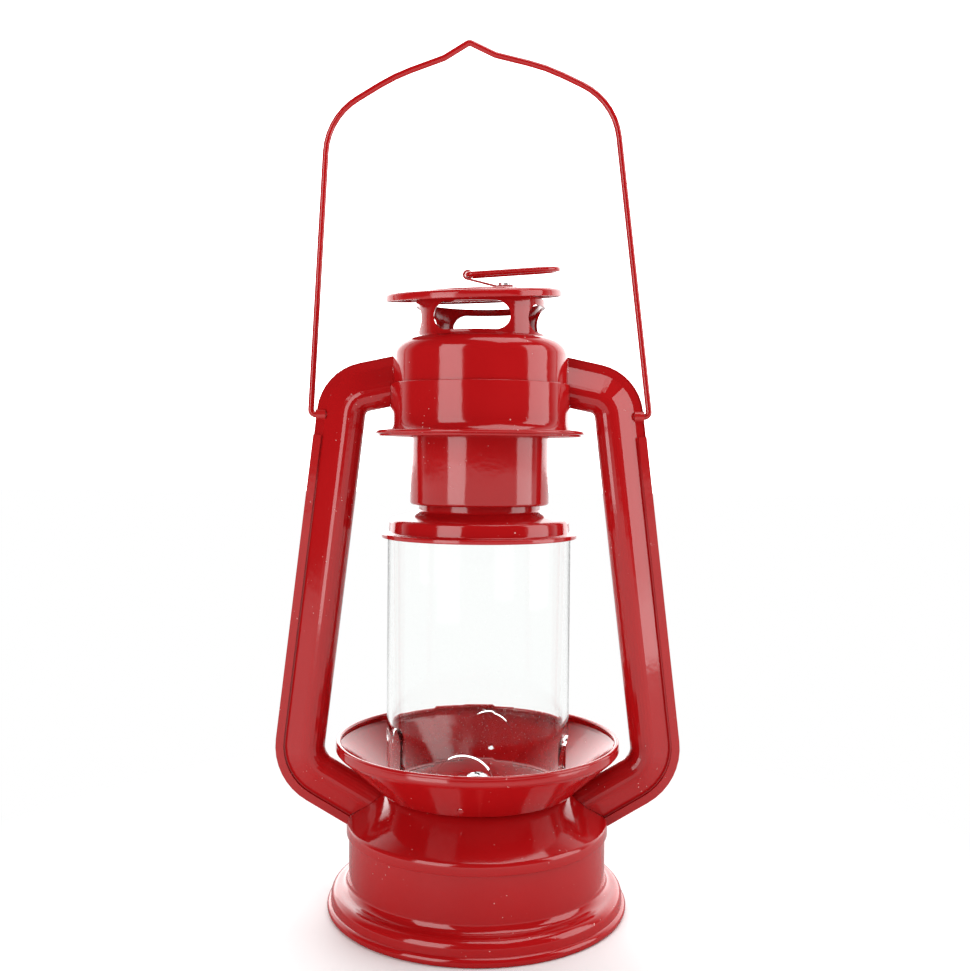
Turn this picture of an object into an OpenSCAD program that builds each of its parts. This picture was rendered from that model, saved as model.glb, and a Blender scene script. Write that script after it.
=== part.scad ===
// Lantern-shaped hanging seed feeder in enamelled sheet steel.
// Millimetres. The origin is the centre of the foot on the ground, +Z is up,
// the side arms lie in the XZ plane and the front faces -Y.

/* [Sheet and wire] */
// Thickness of the pressed steel sheet
sheet = 0.8; // [0.6:0.05:0.9]
// Gap left between two fixed pieces that nest in each other
seat_gap = 0.05; // [0.02:0.01:0.1]
// Radial clearance of a wire that turns in a hole
turn_gap = 0.06; // [0.03:0.01:0.09]

/* [Base] */
// Diameter of the straight drum of the base
drum_d = 89.2; // [74:0.2:108]
// How far the foot stands out beyond the drum
foot_flare = 7.4; // [6.5:0.1:9]
// Radius of the rolled bead along the foot
foot_bead_r = 1.7; // [1.2:0.1:2]
// Radius of the quarter-round above the foot bead
foot_round_r = 3; // [2.4:0.1:3.6]
// Height of the seam between drum and shoulder
shoulder_z = 27.6; // [23:0.2:33]
// Height of the flat top that the dish rests on
base_top_z = 40.4; // [38:0.2:44]
// Radius of that flat top
base_flat_r = 31; // [28:0.5:34]

/* [Dish] */
// Diameter over the rolled rim of the dish
dish_d = 98.8; // [92:0.2:119]
// Height of the dish from its underside to the top of the rim
dish_h = 17.9; // [15:0.1:21.5]
// Radius of the raised middle of the dish
dish_boss_r = 11; // [8:0.5:14]
// Height of the raised middle of the dish
dish_boss_h = 1.8; // [1.2:0.1:2.4]
// Diameter of each drain hole in the dish
drain_d = 2.2; // [1.6:0.1:3.2]
// Radius of the circle that the drain holes lie on
drain_ring_r = 37; // [36:0.5:41]

/* [Seed tube] */
// Outer diameter of the clear tube
tube_d = 63.5; // [53:0.5:66]
// Wall of the clear tube
tube_wall = 2; // [1.5:0.1:2.5]
// Length of the clear tube
tube_h = 87.8; // [73:0.2:106]
// Width of each seed port
port_w = 19; // [15:0.5:23]
// Height of each seed port to the top of its arch
port_h = 20; // [16:0.5:24]
// Turn of the tube about its own axis, in degrees
tube_turn = -8; // [-45:1:45]

/* [Chimney] */
// Outer diameter of the sliding chimney
chimney_d = 48.1; // [44:0.1:50]
// Length of the chimney
chimney_h = 34.4; // [31:0.2:36]
// Length of chimney that shows below the canopy
chimney_show = 24.9; // [22:0.1:29]
// How far the cap's plate stands out past the tube
cap_overhang = 2.05; // [1.4:0.05:3]
// Height of the cap's cup
cap_cup_h = 5; // [4:0.1:6]
// Rise of the cap's sloping top
cap_slope_h = 2.4; // [1.6:0.1:3.2]

/* [Canopy] */
// Outer diameter of the lower canopy drum
canopy_d = 62.2; // [60:0.2:74]
// Radius of the flare below the lower drum
flare_r = 5; // [4:0.1:6]
// Height of the seam between the two drums above the flare's edge
canopy_seam_h = 16.6; // [15:0.1:19]
// Height of the upper drum above the seam
upper_drum_h = 15.4; // [14:0.1:18]
// Radius of the rounded shoulder of the upper drum
canopy_round_r = 5.8; // [4.5:0.1:6.5]
// Outer diameter of the neck
neck_d = 44.6; // [43:0.2:47]
// Height of the neck above the canopy's shoulder
neck_h = 13.4; // [12:0.1:16]
// Width of each vent slot in the neck
slot_w = 25.8; // [22:0.2:27]
// Height of each vent slot
slot_h = 9.4; // [7:0.1:9.8]
// Turn of the vent slots about the axis, in degrees
slot_turn = -9; // [-20:1:20]

/* [Lid] */
// Diameter of the lid
lid_d = 62.2; // [54:0.2:66]
// Depth of the lid's rim
lid_rim_h = 2.7; // [2:0.1:3.4]
// Radius of the pressed disc in the top of the lid
lid_disc_r = 17; // [16.5:0.1:18]
// Rise of that disc
lid_disc_h = 1; // [0.6:0.1:1.4]
// How far the lid tips forward where it lies on the neck, in degrees
lid_tip = 6.5; // [0:0.5:7]
// How far the lid tips to the left, in degrees
lid_lean = 2.2; // [0:0.1:3]
// Where the lid's middle lies to the side of the neck's axis
lid_off_x = -2.8; // [-3:0.1:3]
// Where the lid's middle lies behind the neck's axis
lid_off_y = 0.8; // [0:0.1:1]
// Length of the pull ring
ring_len = 31.3; // [26:0.2:34]
// Width of the pull ring between wire centres
ring_w = 17; // [14:0.5:20]
// Diameter of the pull ring's wire
ring_wire_d = 1.8; // [1.4:0.1:2]
// Width of the strap that holds the pull ring
clip_w = 8; // [6:0.5:10]
// Angle of the pull ring above the lid, in degrees
ring_rest = 2; // [0:0.5:20]

/* [Arms] */
// Width of an arm across its tube and flange
arm_w = 17.1; // [15.5:0.1:18.5]
// Diameter of an arm's round tube
arm_tube_d = 10.4; // [9:0.1:11.5]
// Width of the hem that locks the arm's two halves
hem_w = 2.8; // [2.4:0.1:3.2]
// Inner radius of the arm's upper bend
arm_top_r = 1.5; // [1:0.1:3]
// Inner radius of the arm's lower bend
arm_low_r = 4.9; // [4:0.1:7]
// Fall of the arm's top stretch towards the bend, in degrees
arm_top_fall = 12; // [6:0.5:16]
// Fall of the arm's lower stretch towards the base, in degrees
arm_low_fall = 30.5; // [26:0.5:34]
// Gap between the dish's rim and the inside of the arm
arm_dish_gap = 4.1; // [3:0.1:8]
// Distance from the canopy to the centre of the arm's upper bend
arm_reach = 7.1; // [6:0.1:12]

/* [Bail] */
// Diameter of the bail's wire
bail_wire_d = 2.2; // [1.8:0.1:2.6]
// Height of the bail from its pivots to its peak
bail_h = 128.2; // [122:0.2:154]
// Half the width of the bail at its shoulders
bail_half_w = 49.5; // [46:0.1:58]
// Radius of the bail's shoulder bends
bail_bend_r = 23; // [12:0.5:24]
// Sideways sway of the bail at its shoulders
bail_sway = -3.8; // [-4:0.1:4]
// Height by which one shoulder of the bail lies above the middle
bail_tip = 3.2; // [0:0.1:4]

/* [Hidden] */
$fn = 96;
FILLET_STEPS = 6;
TUBE_STEPS = 9;
CUT = 1;
WIRE_INSET = 0.985;

drum_r = drum_d / 2;
shoulder_r = drum_r + sheet + seat_gap;
foot_r = drum_r + foot_flare;
BEAD_FLAT = 0.85;
foot_step = 1.4;
floor_z = 1.4;
floor_land_w = 6;
floor_dome_h = 1.6;
shoulder_seat = 0.4;
shoulder_round_r = 4;
shoulder_lap = 1.6;
shoulder_slope = atan2(base_top_z - shoulder_z - shoulder_round_r * cos(37),
    shoulder_r - shoulder_round_r * (1 - sin(37)) - base_flat_r);

dish_r = dish_d / 2;
dish_floor_z = base_top_z + sheet;
dish_floor_r = tube_d / 2 + 0.9;
dish_bead_r = 0.85;
dish_bead_in = 0.2;
dish_band_h = 3;
dish_lean = 1;
dish_lip_in = 0.3;
dish_boss_run = 3;
dish_floor_edge = [1.2, 0.5];
band_turn_h = 1.2;

screw_r = 2;
screw_hole_r = 2.15;
screw_head_r = 3.9;
screw_head_h = 2.1;
screw_l = 9.5;
recess_w = 1;
recess_l = 4.4;
recess_h = 1;
nut_r = 4;
nut_h = 3.2;
washer_r = 6;
screw_seat_z = base_top_z + dish_boss_h + sheet;

tube_r = tube_d / 2;
tube_top_z = dish_floor_z + tube_h;

cap_r = tube_r + cap_overhang;
cap_lip_h = 0.8;
cup_inset = 0.3;
cup_r = tube_r - cup_inset;
cap_sleeve_r = chimney_d / 2 - 3.05;
cup_top_z = tube_top_z + cap_cup_h + sheet;
cap_neck_z = cup_top_z + cap_slope_h;
chimney_r = chimney_d / 2;
chimney_z = cap_neck_z + 2.4;
clinch_h = 0.8;
clinch_w = 1.2;

canopy_z = chimney_z + chimney_show;
canopy_r = canopy_d / 2;
seam_z = canopy_z + canopy_seam_h;
upper_r = canopy_r - sheet - seat_gap;
upper_top_z = seam_z + upper_drum_h;
upper_lap = 8;
guide_z = canopy_z + flare_r + 1;
guide_gap = 0.35;
guide_collar_h = 2.6;
neck_r = neck_d / 2;
neck_fillet_r = 1;
neck_top_z = upper_top_z + neck_h;
slot_z = upper_top_z + 1.6;

lid_r = lid_d / 2;
lid_up = [-sin(lid_lean) * cos(lid_tip), -sin(lid_tip), cos(lid_lean) * cos(lid_tip)];
lid_z = neck_top_z + seat_gap + (sheet + neck_r * norm([lid_up.x, lid_up.y])
    - lid_up.x * lid_off_x - lid_up.y * lid_off_y) / lid_up.z;
collar_r = neck_r - sheet - max(abs(lid_off_x), lid_off_y) - 0.6;
collar_h = 3;
ring_wire_r = ring_wire_d / 2;
eye_r = ring_wire_r + turn_gap + sheet;
eye_pos = [-1.6, 5.6];
clip_heel_x = 8.2;
clip_foot_l = 5.6;
rivet_r = 1.2;
rivet_head_r = 2.2;
rivet_head_h = 0.9;

tube_a = arm_tube_d / 2;
flange_u = arm_w - hem_w - 0.5;
top_normal = 90 - arm_top_fall;
low_normal = arm_low_fall - 90;
top_c = [canopy_r + arm_reach, seam_z - 10.9];
low_c = [dish_r + arm_dish_gap - arm_low_r, shoulder_z + 27];
bend_gap = low_c - top_c;
arm_lean = atan2(bend_gap.x, -bend_gap.y) + asin((arm_low_r - arm_top_r) / norm(bend_gap));
arm_mid_l = bend_gap * [sin(arm_lean), -cos(arm_lean)];
arm_top_l = arm_reach + 6;
arm_low_l = 26;
hem_start = 8.9;

bail_r = bail_wire_d / 2;
pivot_s = 2;
pivot_z = top_c.y + (arm_top_r + arm_w) * sin(arm_lean) - pivot_s * cos(arm_lean);
pivot_edge_x = top_c.x + (arm_top_r + arm_w) * cos(arm_lean) + pivot_s * sin(arm_lean);
socket_r = bail_r + turn_gap + sheet;
socket_l = 3.4;
bail_hook_r = 1.6;
bail_side_gap = 0.3;
bail_leg_x = pivot_edge_x + bail_side_gap + bail_hook_r;
bail_pin_l = 4.4;
bail_corner_h = bail_h - 22.6;
bail_mid_h = bail_h - 10;
bail_foot_h = bail_h - 4.8;
bail_foot_x = 8.8;

ENAMEL = [0.72, 0.07, 0.08];
CLEAR = [0.85, 0.92, 0.95, 0.3];
STEEL = [0.75, 0.75, 0.77];

// ---- outlines ----

// Points on an arc about c, from angle a0 to angle a1
function arc(c, r, a0, a1, steps = FILLET_STEPS) =
    [for (i = [0:steps]) c + r * [cos(a0 + (a1 - a0) * i / steps), sin(a0 + (a1 - a0) * i / steps)]];

function unit(v) = v / norm(v);
function left_of(v) = [-v.y, v.x];

// The line moved by t to its left, with mitred corners
function beside(line, t) = [for (i = [0:len(line) - 1])
    let (last = len(line) - 1,
         before = left_of(unit(line[max(i, 1)] - line[max(i, 1) - 1])),
         after = left_of(unit(line[min(i, last - 1) + 1] - line[min(i, last - 1)])))
    line[i] + t * (before + after) / (1 + before * after)];

function backwards(line) = [for (i = [len(line) - 1:-1:0]) line[i]];

// The line without points that repeat the one before
function no_repeats(line) =
    [for (i = [0:len(line) - 1]) if (i == 0 || norm(line[i] - line[max(i, 1) - 1]) > 0.001) line[i]];

// A sheet pressed to a round shape: line is its outer face, [radius, height]
module spun_sheet(line) {
    outer = no_repeats(line);
    rotate_extrude() polygon(concat(outer, backwards(beside(outer, sheet))));
}

module ring(r, wall, h) {
    difference() {
        cylinder(r = r, h = h);
        translate([0, 0, -CUT]) cylinder(r = r - wall, h = h + 2 * CUT);
    }
}

// ---- wire bent in the XY plane ----

// Turn at corner i of a path, positive to the left
function turn_at(p, i) =
    let (a = unit(p[i] - p[i - 1]), b = unit(p[i + 1] - p[i]))
    atan2(a.x * b.y - a.y * b.x, a * b);

// Length that the bend at corner i takes from each of its two straights
function bend_cut(p, radii, i) = radii[i] * tan(abs(turn_at(p, i)) / 2);

// Points along the bend of radius radii[i] at corner i
function bend(p, radii, i) =
    let (turn = turn_at(p, i), side = turn > 0 ? 1 : -1, way = unit(p[i] - p[i - 1]),
         c = p[i] - way * bend_cut(p, radii, i) + side * radii[i] * left_of(way),
         start = atan2(way.y, way.x) - side * 90)
    arc(c, radii[i], start, start + turn, max(2, ceil(abs(turn) / 11)));

function rounded(p, radii) =
    [for (i = [0:len(p) - 1]) each i == 0 || i == len(p) - 1 ? [p[i]] : bend(p, radii, i)];

// Round wire of radius r along the points of a flat path
module swept_wire(path, r) {
    sides = 14;
    last = len(path) - 1;
    points = [for (i = [0:last])
        let (across = left_of(unit(path[min(i + 1, last)] - path[max(i - 1, 0)])))
        for (k = [0:sides - 1])
            let (a = 360 * k / sides, flat = path[i] + r * cos(a) * across)
            [flat.x, flat.y, r * sin(a)]];
    walls = [for (i = [0:last - 1], k = [0:sides - 1])
        let (a = i * sides + k, b = i * sides + (k + 1) % sides)
        each [[a, b + sides, b], [a, a + sides, b + sides]]];
    ends = [[for (k = [0:sides - 1]) k], [for (k = [sides - 1:-1:0]) last * sides + k]];
    polyhedron(points, concat(walls, ends));
}

// ---- base ----

// Outer face of the shoulder, from its lower lap up to the flat top
function shoulder_line() = let (c = [shoulder_r - shoulder_round_r, shoulder_z]) concat(
    [[shoulder_r, shoulder_z - shoulder_lap]],
    arc(c, shoulder_round_r, 0, 90 - shoulder_slope, 8),
    [[base_flat_r, base_top_z], [screw_hole_r, base_top_z]]);

module base_wall() {
    round_c = [foot_r - foot_step - foot_round_r, 2 * foot_bead_r + foot_step];
    fillet_r = round_c.x - drum_r;
    bead_c = [foot_r - foot_bead_r, foot_bead_r * BEAD_FLAT];
    flat_a = asin(BEAD_FLAT);
    color(ENAMEL) {
        spun_sheet(concat(
            [[bead_c.x + foot_bead_r * cos(70), bead_c.y * 2]],
            arc(round_c, foot_round_r, 0, 90),
            arc([round_c.x, round_c.y + foot_round_r + fillet_r], fillet_r, 270, 180, 4),
            [[drum_r, shoulder_z - shoulder_seat]]));
        rotate_extrude() polygon(arc(bead_c, foot_bead_r, -flat_a, 180 + flat_a, 20));
    }
}

module base_shoulder() {
    color(ENAMEL) spun_sheet(shoulder_line());
}

module base_floor() {
    floor_r = foot_r - 2 * foot_bead_r - seat_gap;
    color(ENAMEL) spun_sheet([
        [floor_r, floor_z], [floor_r - floor_land_w, floor_z],
        [floor_r - floor_land_w - floor_dome_h, floor_z + floor_dome_h], [0.01, floor_z + floor_dome_h]]);
}

// ---- dish ----

module dish() {
    rim_z = base_top_z + dish_h;
    band_z = rim_z - dish_band_h;
    slope_r = dish_r - dish_lean;
    color(ENAMEL) difference() {
        union() {
            spun_sheet([[screw_hole_r, base_top_z + dish_boss_h],
                [dish_boss_r, base_top_z + dish_boss_h], [dish_boss_r + dish_boss_run, base_top_z],
                [dish_floor_r, base_top_z], [dish_floor_r, base_top_z] + dish_floor_edge,
                [slope_r, band_z - band_turn_h], [dish_r, band_z], [dish_r - dish_lip_in, rim_z - dish_bead_r]]);
            rotate_extrude() translate([dish_r - dish_bead_in - dish_bead_r, rim_z - dish_bead_r])
                circle(r = dish_bead_r);
        }
        for (i = [0:3]) rotate([0, 0, tube_turn + 90 * i])
            translate([drain_ring_r, 0, base_top_z]) cylinder(d = drain_d, h = dish_h);
    }
}

module dish_screw() {
    color(STEEL) translate([0, 0, screw_seat_z]) difference() {
        union() {
            cylinder(r = screw_head_r, h = screw_head_h);
            translate([0, 0, -screw_l]) cylinder(r = screw_r, h = screw_l + CUT);
        }
        for (a = [0, 90]) rotate([0, 0, a])
            translate([-recess_w / 2, -recess_l / 2, screw_head_h - recess_h])
                cube([recess_w, recess_l, recess_h + CUT]);
    }
}

module dish_washer() {
    color(STEEL) translate([0, 0, base_top_z - 2 * sheet])
        ring(washer_r, washer_r - screw_hole_r, sheet);
}

module dish_nut() {
    color(STEEL) translate([0, 0, base_top_z - 2 * sheet - nut_h]) difference() {
        cylinder(r = nut_r, h = nut_h, $fn = 6);
        translate([0, 0, -CUT]) cylinder(r = screw_r + seat_gap, h = nut_h + 2 * CUT);
    }
}

// ---- seed tube ----

module seed_tube() {
    arch_r = port_w / 2;
    color(CLEAR) rotate([0, 0, tube_turn]) difference() {
        translate([0, 0, dish_floor_z]) ring(tube_r, tube_wall, tube_h);
        for (i = [0:3]) rotate([0, 0, 90 * i]) translate([0, 0, dish_floor_z]) {
            translate([tube_r / 2, -arch_r, -CUT]) cube([tube_r, port_w, port_h - arch_r + CUT]);
            translate([tube_r / 2, 0, port_h - arch_r]) rotate([0, 90, 0])
                cylinder(r = arch_r, h = tube_r);
        }
    }
}

// ---- cap and chimney, which slide together ----

module tube_cap() {
    round_r = 1.4;
    color(ENAMEL) {
        spun_sheet(concat(
            [[cap_r, tube_top_z - cap_lip_h], [cap_r, tube_top_z + sheet],
                [cup_r, tube_top_z + sheet]],
            arc([cup_r - cup_inset - round_r, cup_top_z - round_r], round_r, 0, 72, 5),
            [[cap_sleeve_r, cap_neck_z], [cap_sleeve_r, chimney_z + sheet + seat_gap]]));
        translate([0, 0, chimney_z + sheet + seat_gap])
            ring(cap_sleeve_r + clinch_w, clinch_w + sheet, clinch_h);
    }
}

module chimney() {
    color(ENAMEL) translate([0, 0, chimney_z]) {
        ring(chimney_r, sheet, chimney_h);
        ring(chimney_r - sheet, chimney_r - sheet - cap_sleeve_r - seat_gap, sheet);
    }
}

// ---- canopy ----

module canopy_skirt() {
    edge_r = 0.7;
    color(ENAMEL) {
        spun_sheet(concat(
            arc([canopy_r + flare_r, canopy_z + flare_r], flare_r, 262, 180, 8),
            [[canopy_r, seam_z - seat_gap]]));
        rotate_extrude() translate([canopy_r + flare_r - 0.5, canopy_z + edge_r]) circle(r = edge_r);
    }
}

module chimney_guide() {
    color(ENAMEL) translate([0, 0, guide_z]) {
        ring(canopy_r - sheet - seat_gap, canopy_r - chimney_r - 2 * sheet - seat_gap - guide_gap, sheet);
        translate([0, 0, sheet - guide_collar_h])
            ring(chimney_r + guide_gap + sheet, sheet, guide_collar_h);
    }
}

module neck_slot() {
    end_r = slot_h / 2;
    translate([-slot_w / 2 + end_r, -neck_r - CUT, 0]) cube([slot_w - slot_h, neck_r, slot_h]);
    for (side = [-1, 1]) translate([side * (slot_w / 2 - end_r), -CUT, end_r])
        rotate([90, 0, 0]) cylinder(r = end_r, h = neck_r);
}

module canopy_top() {
    color(ENAMEL) difference() {
        spun_sheet(concat(
            [[upper_r, seam_z - upper_lap]],
            arc([upper_r - canopy_round_r, upper_top_z - canopy_round_r], canopy_round_r, 0, 90, 10),
            arc([neck_r + neck_fillet_r, upper_top_z + neck_fillet_r], neck_fillet_r, 270, 180, 3),
            [[neck_r, neck_top_z]]));
        for (i = [0:3]) rotate([0, 0, slot_turn + 90 * i]) translate([0, 0, slot_z]) neck_slot();
    }
}

// ---- lid ----

module on_lid() {
    translate([lid_off_x, lid_off_y, lid_z]) rotate([lid_tip, -lid_lean, 0]) children();
}

module lid() {
    edge_r = 1;
    color(ENAMEL) on_lid() difference() {
        spun_sheet(concat(
            [[lid_r, -lid_rim_h]],
            arc([lid_r - edge_r, -edge_r], edge_r, 0, 90, 4),
            [[lid_disc_r, 0], [lid_disc_r - 0.6, lid_disc_h], [0.01, lid_disc_h]]));
        translate([clip_heel_x + clip_foot_l / 2, 0, -CUT]) cylinder(r = rivet_r + seat_gap, h = 3 * CUT);
    }
}

module lid_collar() {
    color(ENAMEL) on_lid() translate([0, 0, -sheet - collar_h]) ring(collar_r, sheet, collar_h);
}

// Strap from its foot on the lid up to the rolled eye
module ring_clip() {
    run = eye_pos - [clip_heel_x, lid_disc_h];
    rise = atan2(run.y, -run.x) - asin(eye_r / norm(run));
    strap_l = sqrt(run * run - eye_r * eye_r);
    color(ENAMEL) on_lid() difference() {
        union() {
            translate([clip_heel_x, -clip_w / 2, lid_disc_h]) cube([clip_foot_l, clip_w, sheet]);
            translate([clip_heel_x, clip_w / 2, lid_disc_h]) rotate([0, 0, 180])
                rotate([0, -rise, 0]) cube([strap_l, clip_w, sheet]);
            translate([eye_pos.x, clip_w / 2, eye_pos.y]) rotate([90, 0, 0])
                cylinder(r = eye_r, h = clip_w);
        }
        translate([eye_pos.x, clip_w / 2 + CUT, eye_pos.y]) rotate([90, 0, 0])
            cylinder(r = ring_wire_r + turn_gap, h = clip_w + 2 * CUT);
        translate([clip_heel_x + clip_foot_l / 2, 0, 0])
            cylinder(r = rivet_r + seat_gap, h = lid_disc_h + sheet + CUT);
    }
}

module clip_rivet() {
    top = lid_disc_h + sheet;
    color(STEEL) on_lid() translate([clip_heel_x + clip_foot_l / 2, 0, 0]) {
        translate([0, 0, lid_disc_h - sheet]) cylinder(r = rivet_r, h = 2 * sheet);
        translate([0, 0, top]) cylinder(r = rivet_head_r, h = rivet_head_h);
        translate([0, 0, lid_disc_h - sheet - rivet_head_h])
            cylinder(r = rivet_head_r, h = rivet_head_h);
    }
}

module lid_ring() {
    half = ring_w / 2;
    round_r = half - 0.1;
    start = [0, half - 2.6];
    end = [0, -start.y];
    path = rounded([start, [0, half], [ring_len, half], [ring_len, -half], [0, -half], end],
        [0, 2, round_r, round_r, 2, 0]);
    color(ENAMEL) on_lid() translate([eye_pos.x, 0, eye_pos.y]) rotate([0, -ring_rest, 0]) {
        swept_wire(path, ring_wire_r * WIRE_INSET);
        translate([0, half - 2.1, 0]) rotate([90, 0, 0]) cylinder(r = ring_wire_r, h = ring_w - 4.2);
    }
}

// ---- arms ----

// Where a line from the point to_p touches a circle about c, as an angle
function touch_angle(c, r, to_p) =
    let (reach = to_p - c) atan2(reach.y, reach.x) + acos(r / norm(reach));

// Half of a round tube, with a flat facet that runs out to a flange.
// x is the distance from the arm's inner edge, y is away from the seam
function half_section(edge, fold) =
    let (c = [tube_a, 0], first = 170,
         outer_end = touch_angle(c, tube_a, [flange_u, sheet]),
         inner_end = touch_angle(c, tube_a - sheet, [flange_u - sheet, 0]))
    concat([[0, 0]], arc(c, tube_a, first, outer_end, TUBE_STEPS),
        [[flange_u, sheet], [edge, sheet]], fold, [[flange_u - sheet, 0]],
        arc(c, tube_a - sheet, inner_end, first, TUBE_STEPS), [[sheet, 0]]);

front_edge = [[arm_w - sheet - seat_gap, 0]];
front_section = half_section(front_edge[0].x, front_edge);

// The back shell's edge is hemmed round the front shell's flange
hem_fold = let (flange_top = -sheet - seat_gap, hem_top = flange_top - sheet) [
    [arm_w, 0], [arm_w, hem_top], [arm_w - hem_w, hem_top], [arm_w - hem_w, flange_top],
    [arm_w - sheet, flange_top], [arm_w - sheet, 0]];
back_section = half_section(arm_w, hem_fold);

// A station of the arm: its inner edge at radius r from c, outward angle a,
// moved by along in the direction of travel
function station(c, r, a, along = 0) =
    [c.x + r * cos(a) + along * sin(a), c.y + r * sin(a) - along * cos(a), a];

upper_stations = concat([station(top_c, arm_top_r, top_normal, -arm_top_l)],
    [for (i = [0:8]) station(top_c, arm_top_r, top_normal + (arm_lean - top_normal) * i / 8)]);
lower_stations = concat([station(top_c, arm_top_r, arm_lean, hem_start)],
    [for (i = [0:8]) station(low_c, arm_low_r, arm_lean + (low_normal - arm_lean) * i / 8)],
    [station(low_c, arm_low_r, low_normal, arm_low_l)]);

// Faces that close a section: a strip across the tube's wall, then the flange
function cap(loop) = let (count = len(loop), flange = TUBE_STEPS + 2) concat(
    [for (k = [0:flange - 1]) each [[loop[k], loop[k + 1], loop[count - 2 - k]],
        [loop[k], loop[count - 2 - k], loop[count - 1 - k]]]],
    [[for (k = [flange:count - 1 - flange]) loop[k]]]);

// Sweeps a section down the arm; side is 1 for y to the front. A fold, which is
// a run of the section's own points, is there on the lower stations only
module swept_section(section, fold, side) {
    stations = concat(upper_stations, lower_stations);
    count = len(section);
    first = len(upper_stations);
    last = len(stations) - 1;
    whole = [for (k = [0:count - 1]) k];
    folded = search(fold, section);
    bare = [for (k = whole) if (k <= folded[0] || k >= folded[len(fold) - 1]) k];
    points = [for (s = stations, p = section)
        [s.x + p.x * cos(s.z), -side * p.y, s.y + p.x * sin(s.z)]];
    walls = [for (i = [0:last - 1]) let (loop = i < first ? bare : whole)
        for (j = [0:len(loop) - 1])
            let (a = i * count + loop[j], b = i * count + loop[(j + 1) % len(loop)])
            each [[a, b, b + count], [a, b + count, a + count]]];
    fold_end = [for (k = backwards(folded)) first * count + k];
    ends = concat([for (f = cap(bare)) backwards(f)], cap([for (k = whole) last * count + k]));
    faces = concat(walls, ends, len(fold) > 2 ? [fold_end] : []);
    polyhedron(points, side > 0 ? faces : [for (f = faces) backwards(f)]);
}

// What the arm's two ends are cut to: the canopy's two drums and the base
module arm_ends() {
    translate([0, 0, canopy_z]) cylinder(r = canopy_r + seat_gap, h = canopy_seam_h + seat_gap);
    translate([0, 0, seam_z]) cylinder(r = upper_r + seat_gap, h = upper_drum_h + neck_h);
    grow = [seat_gap, seat_gap];
    foot_z = [0, -CUT];
    rotate_extrude() polygon(concat(
        [foot_z, [shoulder_r + seat_gap, -CUT]],
        [for (p = shoulder_line()) p + grow], [[0, base_top_z + seat_gap]]));
}

// Sleeve pressed into both flanges, for the end of the bail
module bail_socket(side) {
    intersection() {
        translate([pivot_edge_x - socket_l, 0, pivot_z]) rotate([0, 90, 0])
            cylinder(r = socket_r, h = socket_l);
        translate([0, side > 0 ? 0 : -arm_w, 0]) cube([2 * pivot_edge_x, arm_w, 2 * pivot_z]);
    }
}

module bail_hole() {
    translate([pivot_edge_x - socket_l - 3, 0, pivot_z]) rotate([0, 90, 0])
        cylinder(r = bail_r + turn_gap, h = socket_l + 3 + CUT);
}

module arm_front() {
    color(ENAMEL) difference() {
        union() {
            swept_section(front_section, front_edge, 1);
            bail_socket(-1);
        }
        arm_ends();
        bail_hole();
    }
}

module arm_back() {
    color(ENAMEL) difference() {
        union() {
            swept_section(back_section, hem_fold, -1);
            bail_socket(1);
        }
        arm_ends();
        bail_hole();
    }
}

// ---- bail ----

// A point of the bail above its pivots, moved as the bail sways
function swayed(x, h) = [x + bail_sway * h / bail_corner_h, h + bail_tip * x / bail_half_w];

module bail() {
    pin_x = bail_leg_x - bail_hook_r - bail_side_gap;
    foot = [[pin_x - 0.5, 0], [bail_leg_x, 0]];
    upper = [[bail_half_w, bail_corner_h], [26, bail_mid_h], [bail_foot_x, bail_foot_h]];
    right = concat(foot, [for (p = upper) swayed(p.x, p.y)]);
    path = rounded(
        concat(right, [swayed(0, bail_h)], [for (p = backwards(upper)) swayed(-p.x, p.y)],
            [for (p = backwards(foot)) [-p.x, p.y]]),
        [0, bail_hook_r, bail_bend_r, 60, 4, 1.8, 4, 60, bail_bend_r, bail_hook_r, 0]);
    color(ENAMEL) translate([0, 0, pivot_z]) {
        rotate([90, 0, 0]) swept_wire(path, bail_r * WIRE_INSET);
        for (side = [-1, 1]) translate([side * (pin_x - bail_pin_l / 2), 0, 0]) rotate([0, 90, 0])
            cylinder(r = bail_r, h = bail_pin_l, center = true);
    }
}

base_wall();
base_shoulder();
base_floor();
dish();
dish_screw();
dish_washer();
dish_nut();
seed_tube();
tube_cap();
chimney();
canopy_skirt();
chimney_guide();
canopy_top();
lid();
lid_collar();
ring_clip();
clip_rivet();
lid_ring();
mirror([1, 0, 0]) arm_front();  // left_arm_front
mirror([1, 0, 0]) arm_back();  // left_arm_back
arm_front();  // right_arm_front
arm_back();  // right_arm_back
bail();
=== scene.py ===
"""Looks of a red enamelled, lantern-shaped hanging seed feeder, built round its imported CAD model.

The turned sheet parts, the tube and the wires are rebuilt here as fine meshes on the CAD model's sizes.
Helper outlines are in millimetres, [radius, height]; every Blender object is in metres.
"""
import math

import bmesh
import bpy
from mathutils import Matrix, Vector


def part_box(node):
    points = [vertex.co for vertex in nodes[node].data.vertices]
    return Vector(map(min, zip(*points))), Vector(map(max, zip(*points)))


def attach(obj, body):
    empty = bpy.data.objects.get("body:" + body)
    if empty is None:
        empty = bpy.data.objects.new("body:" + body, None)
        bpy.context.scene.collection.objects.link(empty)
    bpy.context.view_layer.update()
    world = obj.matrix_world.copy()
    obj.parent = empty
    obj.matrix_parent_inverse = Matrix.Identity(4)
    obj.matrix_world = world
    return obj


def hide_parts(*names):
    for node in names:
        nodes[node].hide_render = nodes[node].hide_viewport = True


MM = 0.001
SHEET = 0.8
SEAT_GAP = 0.05
TUBE_TURN = -8
SLOT_TURN = -9
UPRIGHT = Matrix.Rotation(math.pi / 2, 4, "X")
ROUND_SEGMENTS = 256

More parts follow.
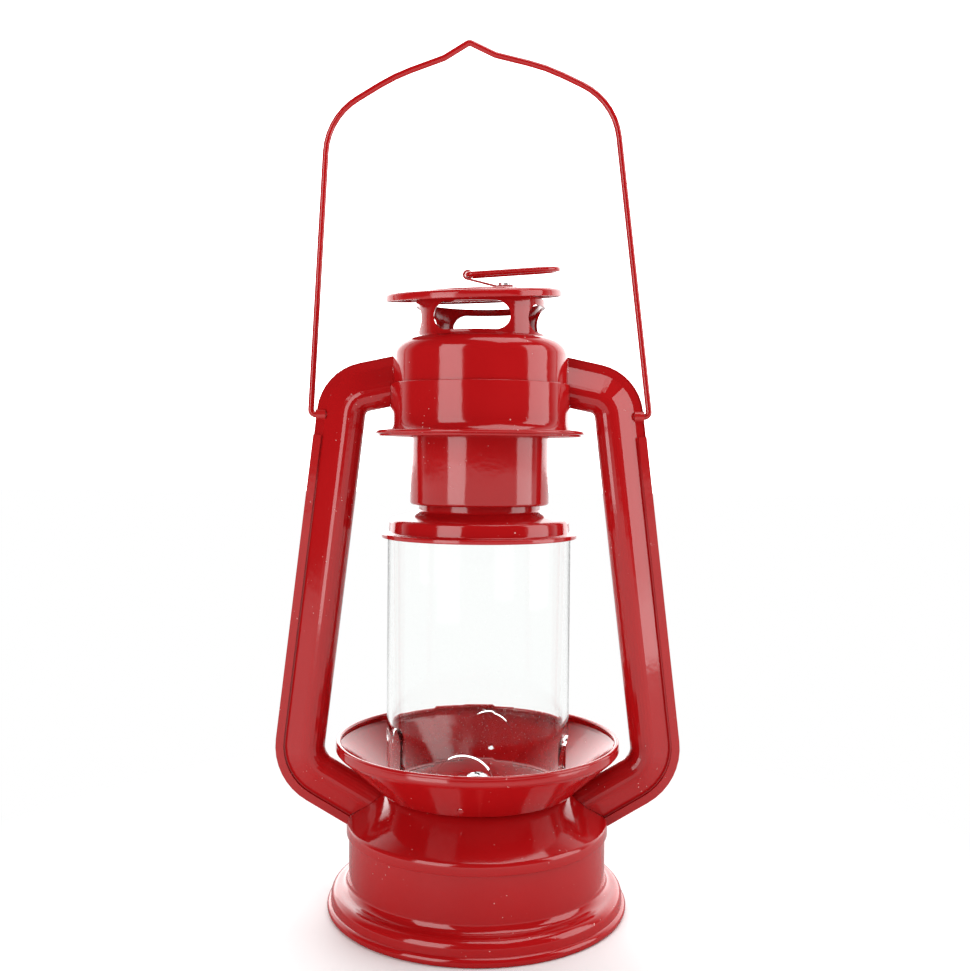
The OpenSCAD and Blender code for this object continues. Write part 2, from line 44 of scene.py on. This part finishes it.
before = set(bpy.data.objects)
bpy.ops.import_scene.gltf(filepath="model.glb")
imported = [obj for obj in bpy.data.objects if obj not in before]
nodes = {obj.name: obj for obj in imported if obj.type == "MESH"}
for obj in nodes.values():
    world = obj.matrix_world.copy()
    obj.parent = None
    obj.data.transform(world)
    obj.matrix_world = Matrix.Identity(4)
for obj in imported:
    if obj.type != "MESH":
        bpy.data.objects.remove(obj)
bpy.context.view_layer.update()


def box_mm(node):
    """Lowest and highest corner of a CAD node, in millimetres."""
    low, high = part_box(node)
    return low / MM, high / MM


# ---------------------------------------------------------------- camera

def make_camera():
    data = bpy.data.cameras.new("camera")
    data.lens = 40.8
    data.sensor_width = 36.0
    data.clip_start = 0.01
    camera = bpy.data.objects.new("camera", data)
    place = Matrix.Translation((0.0019, -0.3829, 0.1576))
    pitch = Matrix.Rotation(math.radians(90 - 1.71), 4, "X")
    roll = Matrix.Rotation(math.radians(0.445), 4, "Z")
    camera.matrix_world = place @ pitch @ roll
    bpy.context.scene.collection.objects.link(camera)
    bpy.context.scene.camera = camera


make_camera()


# ---------------------------------------------------------------- materials

def make_material(name):
    material = bpy.data.materials.new(name)
    material.use_nodes = True
    tree = material.node_tree
    return material, tree, tree.nodes["Principled BSDF"]


def noise(tree, scale, detail, vector):
    node = tree.nodes.new("ShaderNodeTexNoise")
    node.inputs["Scale"].default_value = scale
    node.inputs["Detail"].default_value = detail
    tree.links.new(vector, node.inputs["Vector"])
    return node.outputs["Fac"]


def map_range(tree, value, from_min, from_max, to_min, to_max):
    node = tree.nodes.new("ShaderNodeMapRange")
    for name, number in (("From Min", from_min), ("From Max", from_max),
                         ("To Min", to_min), ("To Max", to_max)):
        node.inputs[name].default_value = number
    tree.links.new(value, node.inputs["Value"])
    return node.outputs["Result"]


def mix_colour(tree, factor, colour_a, colour_b):
    node = tree.nodes.new("ShaderNodeMix")
    node.data_type = "RGBA"
    tree.links.new(factor, node.inputs["Factor"])
    for value, socket in ((colour_a, node.inputs[6]), (colour_b, node.inputs[7])):
        if isinstance(value, tuple):
            socket.default_value = value
        else:
            tree.links.new(value, socket)
    return node.outputs[2]


def bump(tree, height, strength, distance, normal=None):
    node = tree.nodes.new("ShaderNodeBump")
    node.inputs["Strength"].default_value = strength
    node.inputs["Distance"].default_value = distance
    tree.links.new(height, node.inputs["Height"])
    if normal is not None:
        tree.links.new(normal, node.inputs["Normal"])
    return node.outputs["Normal"]


def maths(tree, operation, a, b):
    node = tree.nodes.new("ShaderNodeMath")
    node.operation = operation
    for value, socket in ((a, node.inputs[0]), (b, node.inputs[1])):
        if isinstance(value, (int, float)):
            socket.default_value = value
        else:
            tree.links.new(value, socket)
    return node.outputs[0]


def enamel():
    """Glossy red enamel: slight orange peel, a painted highlight of lighter red on sharp edges, specks and a
    few tiny chips.
    """
    material, tree, shader = make_material("red_enamel")
    place = tree.nodes.new("ShaderNodeTexCoord").outputs["Object"]
    shader.inputs["IOR"].default_value = 1.52

    cloud = noise(tree, 28, 3, place)
    colour = mix_colour(tree, map_range(tree, cloud, 0.3, 0.7, 0, 1),
                        (0.42, 0.0050, 0.0065, 1), (0.46, 0.0070, 0.0085, 1))
    # painted highlight: sharp convex edges (high pointiness) are mixed towards a lighter red that stands in
    # for the light they catch
    edge = tree.nodes.new("ShaderNodeNewGeometry").outputs["Pointiness"]
    painted_edge_highlight = map_range(tree, edge, 0.56, 0.72, 0, 0.35)
    colour = mix_colour(tree, painted_edge_highlight, colour, (0.62, 0.045, 0.045, 1))
    speck = noise(tree, 900, 1, place)
    patch = noise(tree, 60, 1, place)
    chips = maths(tree, "MULTIPLY", map_range(tree, speck, 0.755, 0.78, 0, 1),
                  map_range(tree, patch, 0.55, 0.62, 0, 1))
    colour = mix_colour(tree, chips, colour, (0.70, 0.34, 0.31, 1))
    tree.links.new(colour, shader.inputs["Base Color"])

    haze = map_range(tree, noise(tree, 75, 4, place), 0.25, 0.75, 0.075, 0.125)
    rough = maths(tree, "ADD", haze, maths(tree, "MULTIPLY", chips, 0.3))
    tree.links.new(rough, shader.inputs["Roughness"])

    peel = bump(tree, noise(tree, 420, 2, place), 0.10, 0.00025)
    waves = bump(tree, noise(tree, 48, 1, place), 0.16, 0.0016, peel)
    pits = bump(tree, maths(tree, "MULTIPLY", chips, -1.0), 0.5, 0.00012, waves)
    tree.links.new(pits, shader.inputs["Normal"])
    return material


def clear_plastic():
    """Thin clear tube with faint dust and fine vertical scratches."""
    material, tree, shader = make_material("clear_tube")
    place = tree.nodes.new("ShaderNodeTexCoord").outputs["Object"]
    shader.inputs["Base Color"].default_value = (0.985, 0.995, 0.99, 1)
    shader.inputs["Transmission Weight"].default_value = 1.0
    shader.inputs["IOR"].default_value = 1.2
    dust = map_range(tree, noise(tree, 1500, 2, place), 0.66, 0.74, 0.0, 0.35)
    tree.links.new(dust, shader.inputs["Roughness"])
    stretch = tree.nodes.new("ShaderNodeMapping")
    stretch.inputs["Scale"].default_value = (1, 1, 0.03)
    tree.links.new(place, stretch.inputs["Vector"])
    scratch = noise(tree, 700, 2, stretch.outputs["Vector"])
    tree.links.new(bump(tree, scratch, 0.03, 0.0002), shader.inputs["Normal"])
    return material


def brushed_steel():
    material, tree, shader = make_material("steel")
    place = tree.nodes.new("ShaderNodeTexCoord").outputs["Object"]
    shader.inputs["Metallic"].default_value = 1.0
    shader.inputs["Anisotropic"].default_value = 0.4
    tint = mix_colour(tree, noise(tree, 300, 3, place), (0.56, 0.56, 0.57, 1), (0.68, 0.68, 0.69, 1))
    tree.links.new(tint, shader.inputs["Base Color"])
    grain = noise(tree, 2500, 2, place)
    tree.links.new(map_range(tree, grain, 0.3, 0.7, 0.22, 0.38), shader.inputs["Roughness"])
    tree.links.new(bump(tree, grain, 0.2, 0.0001), shader.inputs["Normal"])
    return material


FINISHES = {"red_enamel": enamel(), "clear_tube": clear_plastic(), "steel": brushed_steel()}
STEEL_NODES = ("dish_screw", "dish_washer", "dish_nut", "clip_rivet")


def node_finish(name):
    if name in STEEL_NODES:
        return FINISHES["steel"]
    return FINISHES["clear_tube" if name == "seed_tube" else "red_enamel"]


for name, node in nodes.items():
    node.data.materials.clear()
    node.data.materials.append(node_finish(name))


# ---------------------------------------------------------------- outlines and meshes

def arc(centre, radius, start, end, steps=10):
    """Points on an arc, in degrees."""
    angles = [math.radians(start + (end - start) * i / steps) for i in range(steps + 1)]
    return [(centre[0] + radius * math.cos(a), centre[1] + radius * math.sin(a)) for a in angles]


def filleted(corners, radii, closed=False):
    """The line through the corners with each corner rounded to its radius."""
    line = []
    count = len(corners)
    for i, radius in enumerate(radii):
        here = Vector(corners[i])
        if radius == 0 or (not closed and i in (0, count - 1)):
            line.append(tuple(here))
            continue
        before = Vector(corners[i - 1])
        after = Vector(corners[(i + 1) % count])
        back, on = (before - here).normalized(), (after - here).normalized()
        half = math.acos(max(-1, min(1, back.dot(on)))) / 2
        if abs(half - math.pi / 2) < 0.01:
            line.append(tuple(here))
            continue
        cut = min(radius / math.tan(half), (before - here).length * 0.48, (after - here).length * 0.48)
        first, last = here + back * cut, here + on * cut
        reach = cut / math.cos(half)
        middle = here + (back + on).normalized() * reach
        round_r = reach * math.sin(half)
        a, b = first - middle, last - middle
        turn = math.acos(max(-1, min(1, a.dot(b) / (a.length * b.length))))
        steps = max(2, math.ceil(math.degrees(turn) / 9))
        for k in range(steps + 1):
            t = turn * k / steps
            unit = (a * math.sin(turn - t) + b * math.sin(t)) / math.sin(turn)
            line.append(tuple(middle + unit.normalized() * round_r))
    return line


def without_repeats(line):
    kept = [line[0]]
    for point in line[1:]:
        if (Vector(point) - Vector(kept[-1])).length > 0.004:
            kept.append(point)
    return kept


def beside(line, distance):
    """The line moved to its left, with mitred corners."""
    moved = []
    last = len(line) - 1
    for i, point in enumerate(line):
        ways = []
        for a, b in ((max(i, 1) - 1, max(i, 1)), (min(i, last - 1), min(i, last - 1) + 1)):
            way = (Vector(line[b]) - Vector(line[a])).normalized()
            ways.append(Vector((-way.y, way.x)))
        total = (ways[0] + ways[1]) / (1 + ways[0].dot(ways[1]))
        moved.append(tuple(Vector(point) + total * distance))
    return moved


def sheet_loop(line, thickness=SHEET):
    """Closed outline of a pressed sheet, whose edges are slightly rounded."""
    outer = without_repeats(line)
    inner = beside(outer, thickness)[::-1]
    soft = 0.28 * thickness
    radii = [soft if i in (0, len(outer) - 1) and outer[i][0] > 0.1 else 0 for i in range(len(outer))]
    radii += [soft if i in (0, len(inner) - 1) and inner[i][0] > 0.1 else 0 for i in range(len(inner))]
    return filleted(outer + inner, radii, closed=True)


def new_object(name, vertices, faces):
    mesh = bpy.data.meshes.new(name)
    mesh.from_pydata(vertices, [], faces)
    mesh.validate()
    obj = bpy.data.objects.new(name, mesh)
    bpy.context.scene.collection.objects.link(obj)
    return obj


def clean(obj, sharp_degrees=32):
    """Welds, points the faces outward, and shades smooth but for the sharp edges."""
    bm = bmesh.new()
    bm.from_mesh(obj.data)
    bmesh.ops.remove_doubles(bm, verts=bm.verts, dist=1e-6)
    bmesh.ops.dissolve_degenerate(bm, edges=bm.edges, dist=1e-7)
    bmesh.ops.recalc_face_normals(bm, faces=bm.faces)
    bm.to_mesh(obj.data)
    bm.free()
    for polygon in obj.data.polygons:
        polygon.use_smooth = True
    obj.data.set_sharp_from_angle(angle=math.radians(sharp_degrees))
    return obj


def lathe(name, loop, segments=ROUND_SEGMENTS, matrix=None):
    """Turns a closed outline, [radius, height] in millimetres, about Z."""
    loop = [(max(r, 0.0), z) for r, z in loop]
    vertices, faces = [], []
    for i in range(segments):
        a = 2 * math.pi * i / segments
        vertices += [(r * math.cos(a) * MM, r * math.sin(a) * MM, z * MM) for r, z in loop]
    count = len(loop)
    for i in range(segments):
        j = (i + 1) % segments
        for k in range(count):
            n = (k + 1) % count
            faces.append((i * count + k, j * count + k, j * count + n, i * count + n))
    obj = new_object(name, vertices, faces)
    if matrix is not None:
        obj.data.transform(matrix)
    return clean(obj)


def finish_piece(obj, body, node, slot="red_enamel"):
    """Gives the piece its finish, sets it on its body and puts it in the CAD node's place."""
    obj.data.materials.clear()
    obj.data.materials.append(FINISHES[slot])
    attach(obj, body)
    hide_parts(node)


def cut_with(obj, cutter):
    """Takes the cutter's volume out of obj, for good."""
    modifier = obj.modifiers.new("cut", "BOOLEAN")
    modifier.operation = "DIFFERENCE"
    modifier.solver = "EXACT"
    modifier.object = cutter
    bpy.context.view_layer.update()
    depsgraph = bpy.context.evaluated_depsgraph_get()
    made = bpy.data.meshes.new_from_object(obj.evaluated_get(depsgraph))
    obj.modifiers.clear()
    obj.data = made
    bpy.data.objects.remove(cutter)
    return clean(obj)


def prism(name, outline, low, high, matrix):
    """A closed prism on an outline in XY, from low to high, moved by the matrix. All in millimetres."""
    count = len(outline)
    vertices = [(x * MM, y * MM, z * MM) for z in (low, high) for x, y in outline]
    faces = [tuple(range(count))[::-1], tuple(range(count, 2 * count))]
    faces += [(k, (k + 1) % count, count + (k + 1) % count, count + k) for k in range(count)]
    obj = new_object(name, vertices, faces)
    obj.data.transform(matrix)
    return clean(obj)


def quarter_turns(first):
    """Four turns about Z, a quarter apart, from the first angle in degrees."""
    return [Matrix.Rotation(math.radians(first + 90 * i), 4, "Z") for i in range(4)]


def joined(name, objects):
    """One object from several."""
    bm = bmesh.new()
    for obj in objects:
        bm.from_mesh(obj.data)
    mesh = bpy.data.meshes.new(name)
    bm.to_mesh(mesh)
    bm.free()
    for obj in objects:
        bpy.data.objects.remove(obj)
    made = bpy.data.objects.new(name, mesh)
    bpy.context.scene.collection.objects.link(made)
    return clean(made)


FOOT_R = box_mm("base_wall")[1].x
FOOT_BEAD_R = 1.7
FOOT_STEP = 1.4
FOOT_ROUND_R = 3.0
BEAD_FLAT = 0.85
BEAD_JOIN = 70
SHOULDER_R = box_mm("base_shoulder")[1].x
DRUM_R = SHOULDER_R - SHEET - SEAT_GAP
BASE_TOP_Z = box_mm("base_shoulder")[1].z
BASE_FLAT_R = 31.0
SHOULDER_FALL = 10.9
SCREW_HOLE_R = 2.15


def rolled_bead(centre, radius, flat=0.0, steps=40):
    """Outline of a rolled edge, flat underneath by that share of its radius."""
    start = -90 if flat == 0 else -math.degrees(math.asin(flat))
    line = arc(centre, radius, start, 180 - start, steps)
    return line[:-1] if flat == 0 else line


def base_wall():
    centre = (FOOT_R - FOOT_STEP - FOOT_ROUND_R, 2 * FOOT_BEAD_R + FOOT_STEP)
    hollow_r = centre[0] - DRUM_R
    bead = (FOOT_R - FOOT_BEAD_R, FOOT_BEAD_R * BEAD_FLAT)
    line = [(bead[0] + FOOT_BEAD_R * math.cos(math.radians(BEAD_JOIN)), 2 * bead[1])]
    line += arc(centre, FOOT_ROUND_R, 0, 82, 12)
    line += arc((centre[0], centre[1] + FOOT_ROUND_R + hollow_r), hollow_r, 262, 180, 10)
    line += [(DRUM_R, box_mm("base_wall")[1].z)]
    wall = lathe("wall", sheet_loop(line))
    rim = lathe("rim", rolled_bead(bead, FOOT_BEAD_R, BEAD_FLAT))
    finish_piece(joined("base_wall_skin", [wall, rim]), "root", "base_wall")


def base_shoulder():
    low = box_mm("base_shoulder")[0].z
    corner_z = BASE_TOP_Z - SHOULDER_FALL
    line = [(SHOULDER_R, low), (SHOULDER_R, corner_z), (BASE_FLAT_R, BASE_TOP_Z), (SCREW_HOLE_R, BASE_TOP_Z)]
    radii = [0, 2.0, 2.2, 0]
    shoulder = lathe("base_shoulder_skin", sheet_loop(filleted(line, radii)))
    finish_piece(shoulder, "root", "base_shoulder")


# ---------------------------------------------------------------- dish

DRAIN_R = 1.1
DRAIN_RING_R = 37.0


def dish():
    low, high = box_mm("dish")
    rim_r, rim_z = high.x, high.z
    floor_z = low.z
    bead_r = 0.85
    band_z = rim_z - 3.0
    floor_r = box_mm("seed_tube")[1].x + 0.9
    line = [(SCREW_HOLE_R, floor_z + 1.8), (11.0, floor_z + 1.8), (14.0, floor_z), (floor_r, floor_z),
            (floor_r + 1.2, floor_z + 0.5), (rim_r - 1.0, band_z - 1.2), (rim_r, band_z),
            (rim_r - 0.3, rim_z - bead_r)]
    radii = [0, 1.2, 1.2, 1.0, 3.0, 1.6, 1.2, 0]
    bowl = lathe("bowl", sheet_loop(filleted(line, radii)))
    drain = arc((DRAIN_RING_R, 0), DRAIN_R, 0, 345, 23)
    for turn in quarter_turns(TUBE_TURN):
        bowl = cut_with(bowl, prism("hole", drain, floor_z - 1, rim_z, turn))
    rim = lathe("rim", rolled_bead((rim_r - 0.2 - bead_r, rim_z - bead_r), bead_r, steps=24))
    finish_piece(joined("dish_skin", [bowl, rim]), "root", "dish")


def dish_screw():
    """Pan head with a cross recess, on a plain shank."""
    low, high = box_mm("dish_screw")
    head_r = high.x
    head_z = high.z - 2.1
    line = [(0, low.z), (1.7, low.z), (2.0, low.z + 0.4), (2.0, head_z), (head_r, head_z),
            (head_r, high.z - 0.9), (head_r - 1.6, high.z), (0, high.z)]
    screw = lathe("dish_screw_skin", filleted(line, [0, 0, 0, 0, 0.2, 1.0, 1.6, 0]), 96)
    for turn in (0, math.pi / 2):
        recess = prism("recess", [(-2.1, -0.45), (2.1, -0.45), (2.1, 0.45), (-2.1, 0.45)],
                       high.z - 1.0, high.z + 1, Matrix.Rotation(turn + 0.5, 4, "Z"))
        screw = cut_with(screw, recess)
    finish_piece(screw, "root", "dish_screw", "steel")


# ---------------------------------------------------------------- tube, cap and chimney

PORT_HALF = 9.5
PORT_H = 18.6
TUBE_WALL = 2.0


def seed_tube():
    """Clear tube with four arched ports at its foot."""
    low, high = box_mm("seed_tube")
    radius = high.x
    inner = radius - TUBE_WALL
    corner = 0.25
    loop = filleted([(inner, low.z), (radius, low.z), (radius, high.z), (inner, high.z)],
                    [corner] * 4, closed=True)
    tube = lathe("seed_tube_skin", loop)
    below = low.z - 2
    port = [(-PORT_HALF, below), (PORT_HALF, below)]
    port += arc((0, low.z + PORT_H - PORT_HALF), PORT_HALF, 0, 180, 48)
    for turn in quarter_turns(TUBE_TURN):
        tube = cut_with(tube, prism("port", port, 15, 45, turn @ UPRIGHT))
    finish_piece(tube, "tube", "seed_tube", "clear_tube")


SLEEVE_IN = 3.05


def tube_cap():
    low, high = box_mm("tube_cap")
    plate_r = high.x
    plate_z = low.z + 0.8 + SHEET
    cup_r = box_mm("seed_tube")[1].x - 0.3
    cup_top = box_mm("seed_tube")[1].z + 5.0 + SHEET
    sleeve_r = box_mm("chimney")[1].x - SLEEVE_IN
    neck_z = cup_top + 2.4
    line = [(plate_r, low.z), (plate_r, plate_z), (cup_r, plate_z)]
    line += arc((cup_r - 1.7, cup_top - 1.4), 1.4, 0, 72, 8)
    line += [(sleeve_r, neck_z), (sleeve_r, high.z - 0.8)]
    radii = [0, 0.5, 0.7] + [0] * 9 + [1.0, 0]
    shell = lathe("shell", sheet_loop(filleted(line, radii)))
    clinch = lathe("clinch", filleted(
        [(sleeve_r - SHEET, high.z - 0.8), (sleeve_r + 1.2, high.z - 0.8), (sleeve_r + 1.2, high.z),
         (sleeve_r - SHEET, high.z)], [0.2] * 4, closed=True))
    finish_piece(joined("tube_cap_skin", [shell, clinch]), "chimney", "tube_cap")


def chimney():
    low, high = box_mm("chimney")
    radius = high.x
    sleeve_r = radius - SLEEVE_IN
    line = [(sleeve_r + SEAT_GAP, low.z), (radius, low.z), (radius, high.z)]
    wall = lathe("chimney_skin", sheet_loop(filleted(line, [0, 0.9, 0])))
    finish_piece(wall, "chimney", "chimney")


# ---------------------------------------------------------------- canopy

FLARE_R = 5.0
NECK_R = 22.3
CANOPY_R = box_mm("canopy_skirt")[1].x - FLARE_R + 0.5 - 0.7
SEAM_Z = box_mm("canopy_skirt")[1].z + SEAT_GAP


def canopy_skirt():
    low, high = box_mm("canopy_skirt")
    edge_r = 0.7
    tip_r = high.x - edge_r
    line = arc((CANOPY_R + FLARE_R, low.z + FLARE_R), FLARE_R, 262, 180, 20)
    line += [(CANOPY_R, SEAM_Z - 1.2), (CANOPY_R + 0.02, high.z)]
    skirt = lathe("skirt", sheet_loop(line))
    edge = lathe("edge", rolled_bead((tip_r, low.z + edge_r), edge_r, steps=24))
    finish_piece(joined("canopy_skirt_skin", [skirt, edge]), "root", "canopy_skirt")


def canopy_top():
    """Upper drum with a rounded shoulder, and the neck with four long vent slots."""
    low, high = box_mm("canopy_top")
    upper_r = high.x
    round_r = 5.8
    shoulder_z = high.z - 13.4
    fillet_r = 1.0
    line = [(upper_r, low.z)]
    line += arc((upper_r - round_r, shoulder_z - round_r), round_r, 0, 88, 20)
    line += arc((NECK_R + fillet_r, shoulder_z + fillet_r), fillet_r, 266, 180, 6)
    line += [(NECK_R, high.z)]
    shell = lathe("canopy_top_skin", sheet_loop(line))
    half, end_r, low_z = 12.9, 4.7, shoulder_z + 1.6
    outline = arc((half - end_r, low_z + end_r), end_r, -90, 90, 32)
    outline += arc((end_r - half, low_z + end_r), end_r, 90, 270, 32)
    for turn in quarter_turns(SLOT_TURN):
        shell = cut_with(shell, prism("slot", outline, 12, 30, turn @ UPRIGHT))
    finish_piece(shell, "root", "canopy_top")


def chimney_guide():
    low, high = box_mm("chimney_guide")
    bore_r = box_mm("chimney")[1].x + 0.35
    line = [(high.x, high.z), (bore_r, high.z), (bore_r, low.z)]
    guide = lathe("chimney_guide_skin", sheet_loop(filleted(line, [0, 1.2, 0])))
    finish_piece(guide, "root", "chimney_guide")


# ---------------------------------------------------------------- lid

LID_PLACE = (Matrix.Translation((-2.8 * MM, 0.8 * MM, 213.4225 * MM))
             @ Matrix.Rotation(math.radians(-2.2), 4, "Y") @ Matrix.Rotation(math.radians(6.5), 4, "X"))


def lid():
    """Turned-down rim, flat top and a raised disc."""
    radius, depth, disc_r = 31.1, 2.7, 17.0
    line = [(radius, -depth), (radius, 0), (disc_r, 0), (disc_r - 1.2, 1), (0.01, 1)]
    shell = lathe("lid_skin", sheet_loop(filleted(line, [0, 1.4, 0.8, 0.8, 0])), matrix=LID_PLACE)
    finish_piece(shell, "lid", "lid")


# ---------------------------------------------------------------- wires

BAIL_WIRE_R = 1.1
RING_WIRE_R = 0.9
RING_REST = 2
RING_EYE = Matrix.Translation((-1.6 * MM, 0, 5.6 * MM))


def bent_wire(name, path, radius, closed=False):
    """Round wire along a path of points in millimetres."""
    curve = bpy.data.curves.new(name, "CURVE")
    curve.dimensions = "3D"
    curve.bevel_depth = radius * MM
    curve.bevel_resolution = 6
    curve.use_fill_caps = not closed
    spline = curve.splines.new("POLY")
    spline.points.add(len(path) - 1)
    for point, place in zip(spline.points, path):
        point.co = (*(Vector(place) * MM), 1)
    spline.use_cyclic_u = closed
    holder = bpy.data.objects.new(name + "_path", curve)
    bpy.context.scene.collection.objects.link(holder)
    mesh = bpy.data.meshes.new_from_object(holder)
    bpy.data.objects.remove(holder)
    wire = bpy.data.objects.new(name, mesh)
    bpy.context.scene.collection.objects.link(wire)
    clean(wire, 60)
    return wire


def bail():
    """Hanger wire, bent to a soft peak and swayed a little to the left."""
    pivot_z, leg_x, pin_x = 170.423, 58.806, 52.5
    shoulder_x, shoulder_h = 49.5, 105.6
    sway, tip = 3.8, 3.2
    half = [(leg_x, 0), (shoulder_x, shoulder_h), (26, 118.2), (8.8, 123.4), (0, 128.2)]
    radii = [1.6, 23, 60, 4]
    corners = [(pin_x, 0)] + half + [(-x, h) for x, h in reversed(half[:-1])] + [(-pin_x, 0)]
    bends = [0] + radii + [1.8] + radii[::-1] + [0]
    swayed = [(x - sway * h / shoulder_h, h + tip * x / shoulder_x if h else 0) for x, h in corners]
    path = filleted(swayed, bends)
    wire = bent_wire("bail_skin", [(x, 0, pivot_z + h) for x, h in path], BAIL_WIRE_R)
    finish_piece(wire, "bail", "bail")


def lid_ring():
    """Long pull ring with one narrow square end in the strap."""
    half_w, length = 8.5, 31.3
    bend_r, tight_r = 8.4, 2.0
    outline = [(0, -half_w), (length, -half_w), (length, half_w), (0, half_w)]
    path = filleted(outline, [tight_r, bend_r, bend_r, tight_r], closed=True)
    wire = bent_wire("lid_ring_skin", [(x, y, 0) for x, y in path], RING_WIRE_R, closed=True)
    rest = Matrix.Rotation(math.radians(-RING_REST), 4, "Y")
    wire.data.transform(LID_PLACE @ RING_EYE @ rest)
    finish_piece(wire, "ring", "lid_ring")


# ---------------------------------------------------------------- all together

for make in (base_wall, base_shoulder, dish, dish_screw, seed_tube, tube_cap, chimney,
             canopy_skirt, canopy_top, chimney_guide, lid, bail, lid_ring):
    make()


def softbox(name, azimuth, elevation, distance, width, height, radiance):
    """A rectangular light aimed at the object's middle. Azimuth 0 is the front, positive to the right."""
    turn, rise = math.radians(azimuth), math.radians(elevation)
    middle = Vector((0, 0, 0.14))
    out = Vector((math.sin(turn) * math.cos(rise), -math.cos(turn) * math.cos(rise), math.sin(rise)))
    data = bpy.data.lights.new(name, "AREA")
    data.shape = "RECTANGLE"
    data.size = width
    data.size_y = height
    data.energy = radiance * math.pi * width * height
    light = bpy.data.objects.new(name, data)
    light.location = middle + out * distance
    light.rotation_euler = (-out).to_track_quat("-Z", "Y").to_euler()
    bpy.context.scene.collection.objects.link(light)


softbox("softbox_left", -37, 14, 0.9, 0.5, 0.75, 4.0)
softbox("softbox_right", 79, 14, 0.9, 0.52, 0.75, 3.4)
softbox("softbox_back", 200, 20, 1.2, 0.9, 0.9, 1.5)
softbox("softbox_top", 62, 72, 0.75, 0.6, 0.5, 3.2)


def make_world():
    """White to the camera; to the object, dark in front and bright behind."""
    world = bpy.data.worlds.new("studio")
    world.use_nodes = True
    tree = world.node_tree
    background = tree.nodes["Background"]
    coordinate = tree.nodes.new("ShaderNodeTexCoord")
    split = tree.nodes.new("ShaderNodeSeparateXYZ")
    ramp = tree.nodes.new("ShaderNodeMapRange")
    ramp.interpolation_type = "SMOOTHSTEP"
    ramp.inputs["From Min"].default_value = 0.1
    ramp.inputs["From Max"].default_value = 0.8
    ramp.inputs["To Min"].default_value = 0.03
    ramp.inputs["To Max"].default_value = 3.0
    path = tree.nodes.new("ShaderNodeLightPath")
    either = tree.nodes.new("ShaderNodeMath")
    either.operation = "MAXIMUM"
    tree.links.new(coordinate.outputs["Generated"], split.inputs[0])
    tree.links.new(split.outputs["Y"], ramp.inputs["Value"])
    tree.links.new(path.outputs["Is Camera Ray"], either.inputs[0])
    tree.links.new(ramp.outputs["Result"], either.inputs[1])
    tree.links.new(either.outputs[0], background.inputs["Strength"])
    background.inputs["Color"].default_value = (1, 1, 1, 1)
    bpy.context.scene.world = world


make_world()
bpy.context.scene.view_settings.view_transform = "Standard"


def make_floor():
    """Pale floor that fades to the white of the background."""
    bpy.ops.mesh.primitive_plane_add(size=8, location=(0, 0, 0))
    floor = bpy.context.object
    floor.name = "floor"
    material, tree, shader = make_material("floor")
    shader.inputs["Roughness"].default_value = 0.7
    mirrored = tree.nodes.new("ShaderNodeLightPath").outputs["Is Glossy Ray"]
    paint = mix_colour(tree, mirrored, (0.95, 0.95, 0.95, 1), (0.25, 0.25, 0.25, 1))
    tree.links.new(paint, shader.inputs["Base Color"])
    glow = tree.nodes.new("ShaderNodeEmission")
    coordinate = tree.nodes.new("ShaderNodeTexCoord")
    length = tree.nodes.new("ShaderNodeVectorMath")
    length.operation = "LENGTH"
    fade = tree.nodes.new("ShaderNodeMapRange")
    fade.interpolation_type = "SMOOTHSTEP"
    fade.inputs["From Min"].default_value = 0.05
    fade.inputs["From Max"].default_value = 0.22
    mix = tree.nodes.new("ShaderNodeMixShader")
    tree.links.new(coordinate.outputs["Object"], length.inputs[0])
    tree.links.new(length.outputs["Value"], fade.inputs["Value"])
    tree.links.new(fade.outputs["Result"], mix.inputs[0])
    tree.links.new(shader.outputs[0], mix.inputs[1])
    tree.links.new(glow.outputs[0], mix.inputs[2])
    tree.links.new(mix.outputs[0], tree.nodes["Material Output"].inputs["Surface"])
    floor.data.materials.append(material)


make_floor()
